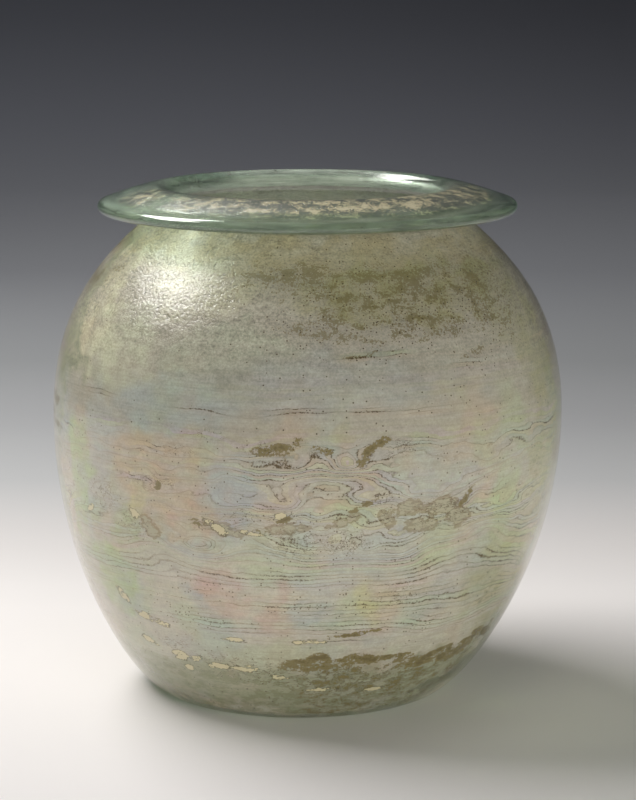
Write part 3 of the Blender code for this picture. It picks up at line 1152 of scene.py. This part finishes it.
# %% Colour
SPECKLE, CRAZED_SPECKLE = 0.3, 0.9  # how much the grains change the tone: anywhere, and more where crazed
CLOUDS, CRAZED_CLOUDS = 0.36, 0.6  # how much the tears do
STREAK_SHADE = 1.3
CRACK_SHADE = -0.14
LAYER_TONES = 0.22
speckle = add(tree, "Math", {0: field["crazed"], 1: CRAZED_SPECKLE, 2: SPECKLE}, operation="MULTIPLY_ADD")
clouding = add(tree, "Math", {0: field["crazed"], 1: CRAZED_CLOUDS, 2: CLOUDS}, operation="MULTIPLY_ADD")
shade = 1.0
for cause, share in ((grit, speckle), (tear, clouding), (streaking, STREAK_SHADE), (crack, CRACK_SHADE)):
    shade = add(tree, "Math", {0: cause, 1: share, 2: shade}, operation="MULTIPLY_ADD")
layered = add(tree, "Math", {0: field["lines"], 1: LAYER_TONES}, operation="MULTIPLY")
colour = add(
    tree,
    "Mix",
    {0: layered, 6: tint, 7: layer_tone},
    out=2,
    data_type="RGBA",
    blend_type="SOFT_LIGHT",
)
colour = add(tree, "VectorMath", {0: colour, "Scale": shade}, operation="SCALE")
LAYERS = (  # where it lies, its colour, and how much of what lies under it that hides
    (torn["patina"], "#848052", 0.45),
    (torn["mottle"], "#7d6c3a", 0.66),
    (torn["tan_edge"], "#9c8455", 0.58),
    (torn["tan"], "#d6cfb2", 0.85),
    (dark_marks, "#64491c", 0.95),
    (torn["stain_edge"], "#6a5a33", 0.75),
    (torn["stain"], "#8a7d50", 0.8),
    (torn["stain_core"], "#6b5d38", 0.6),
    (torn["flake_edge"], "#6b6238", 0.7),
    (torn["flake"], "#e4d8b0", 0.85),
    (torn["dull_crust"], "#33352a", 0.8),
    (torn["crust"], "#cbbf9e", 0.88),
)
for share, tone, strength in LAYERS:
    part = add(tree, "Math", {0: share, 1: strength}, operation="MULTIPLY")
    colour = add(tree, "Mix", {0: part, 6: colour, 7: linear(tone)}, out=2, data_type="RGBA")
print("layers of colour:", len(LAYERS) + 1)

# %% [markdown]
# ## How much light goes through
# Clear glass lets almost all light through and its gloss is sharp. The film hides a part of what lies
# behind, and stains, flakes and crust hide more. What is hidden is also rough.
# Where the film is crazed, its grains and wrinkles stand up by a fraction of a millimetre, with the cracks
# as shallow grooves between them. That breaks the gloss on the shoulder into flecks.

# %% Cover and relief
HIDDEN_BY_FILM = 0.56
HIDDEN_BY_MARKS = 0.3  # how much more stains and scales hide
STREAK_GAPS = 0.9  # how much the streaks thin the film or thicken it
GLASS_ROUGHNESS, COVERED_ROUGHNESS = 0.07, 0.15
FULLY_COVERED = 0.6
solid = add(tree, "Math", {0: torn["stain_edge"], 1: torn["flake"]}, operation="MAXIMUM")
solid = add(tree, "Math", {0: solid, 1: HIDDEN_BY_MARKS, 2: HIDDEN_BY_FILM}, operation="MULTIPLY_ADD")
uneven = add(
    tree,
    "Math",
    {0: streaking, 1: STREAK_GAPS, 2: field["film"]},
    operation="MULTIPLY_ADD",
    use_clamp=True,
)
cover = add(tree, "Math", {0: solid, 1: uneven}, operation="MULTIPLY")
crusted = add(tree, "Math", {0: torn["dull_crust"], 1: torn["crust"]}, operation="MAXIMUM")
cover = add(tree, "Math", {0: cover, 1: crusted}, operation="MAXIMUM")
through = add(tree, "Math", {0: 1.0, 1: cover}, operation="SUBTRACT")
roughness = add(
    tree,
    "MapRange",
    {"Value": cover, "From Max": FULLY_COVERED, "To Min": GLASS_ROUGHNESS, "To Max": COVERED_ROUGHNESS},
)

RELIEF = 0.35 * MM  # the height of a grain of the film. The rest is given in shares of it.
RELIEF_STRENGTH = 0.5
CRUST_HEIGHT = 2.0
CRACK_HEIGHT = -0.2
WRINKLES = 1.5
coarse = add(
    tree,
    "Math",
    {0: field["crust"], 1: CRUST_HEIGHT, 2: field["crazed"]},
    operation="MULTIPLY_ADD",
)
relief = add(tree, "Math", {0: crack, 1: CRACK_HEIGHT}, operation="MULTIPLY")
relief = add(tree, "Math", {0: coarse, 1: grain, 2: relief}, operation="MULTIPLY_ADD")
wrinkled = add(tree, "Math", {0: field["crazed"], 1: WRINKLES}, operation="MULTIPLY")
relief = add(tree, "Math", {0: wrinkled, 1: tear, 2: relief}, operation="MULTIPLY_ADD")
bump = add(tree, "Bump", {"Height": relief, "Strength": RELIEF_STRENGTH, "Distance": RELIEF})
print("relief, mm:", RELIEF / MM)

# %% [markdown]
# ## The shader
# One Principled shader draws glass and film. Cycles would let no lamp light straight through glass, so for
# shadow rays the surface turns into a plain tinted pane: the floor and the inside then get the light that
# the real glass lets through. A weak, smooth coat adds the pearly gloss of the film's outermost skin.

# %% Shader
GLASS_IOR = 1.52
GLASS_COLOUR = "#7ccfba"
GLASS_DENSITY = 26.0  # per metre
FILM_GLOSS = 0.35
FILM_ROUGHNESS = 0.1
CLEAR_PANE, FILMED_PANE = "#c5cbbe", "#868b81"  # what one surface lets through to the floor
PANE_FALL = 3.0  # a power: only where the film is thick does it dim the light much
glass_shader = add(
    tree,
    "BsdfPrincipled",
    {
        "Base Color": colour,
        "Roughness": roughness,
        "Metallic": 0.0,
        "IOR": GLASS_IOR,
        "Transmission Weight": through,
        "Coat Weight": FILM_GLOSS,
        "Coat Roughness": FILM_ROUGHNESS,
        "Coat Normal": bump,
        "Normal": bump,
    },
)
dimming = add(tree, "Math", {0: field["film"], 1: PANE_FALL}, operation="POWER")
pane = add(
    tree,
    "Mix",
    {0: dimming, 6: linear(CLEAR_PANE), 7: linear(FILMED_PANE)},
    out=2,
    data_type="RGBA",
)
passing = add(tree, "BsdfTransparent", {"Color": pane})
shadow_ray = add(tree, "LightPath", out="Is Shadow Ray")
surface = add(tree, "MixShader", {0: shadow_ray, 1: glass_shader, 2: passing})
volume = add(tree, "VolumeAbsorption", {"Color": linear(GLASS_COLOUR), "Density": GLASS_DENSITY})
tree.links.new(surface, output.inputs["Surface"])
tree.links.new(volume, output.inputs["Volume"])
glass_mesh.materials.append(glass_material)
print("nodes in the material:", len(tree.nodes))

# %% [markdown]
# ## Putting the urn in its place
# The finished mesh stands for the imported solid, which is hidden, moves with the same body and carries
# the glass material built above.

# %% The urn
glass = bpy.data.objects.new("blown_glass_urn", glass_mesh)
bpy.context.scene.collection.objects.link(glass)
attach(glass, "root")
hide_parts(URN)
print("piece:", glass.name)

# %% Finish
low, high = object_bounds()
print("visual size, mm:", [round(x / MM, 2) for x in (high - low)])
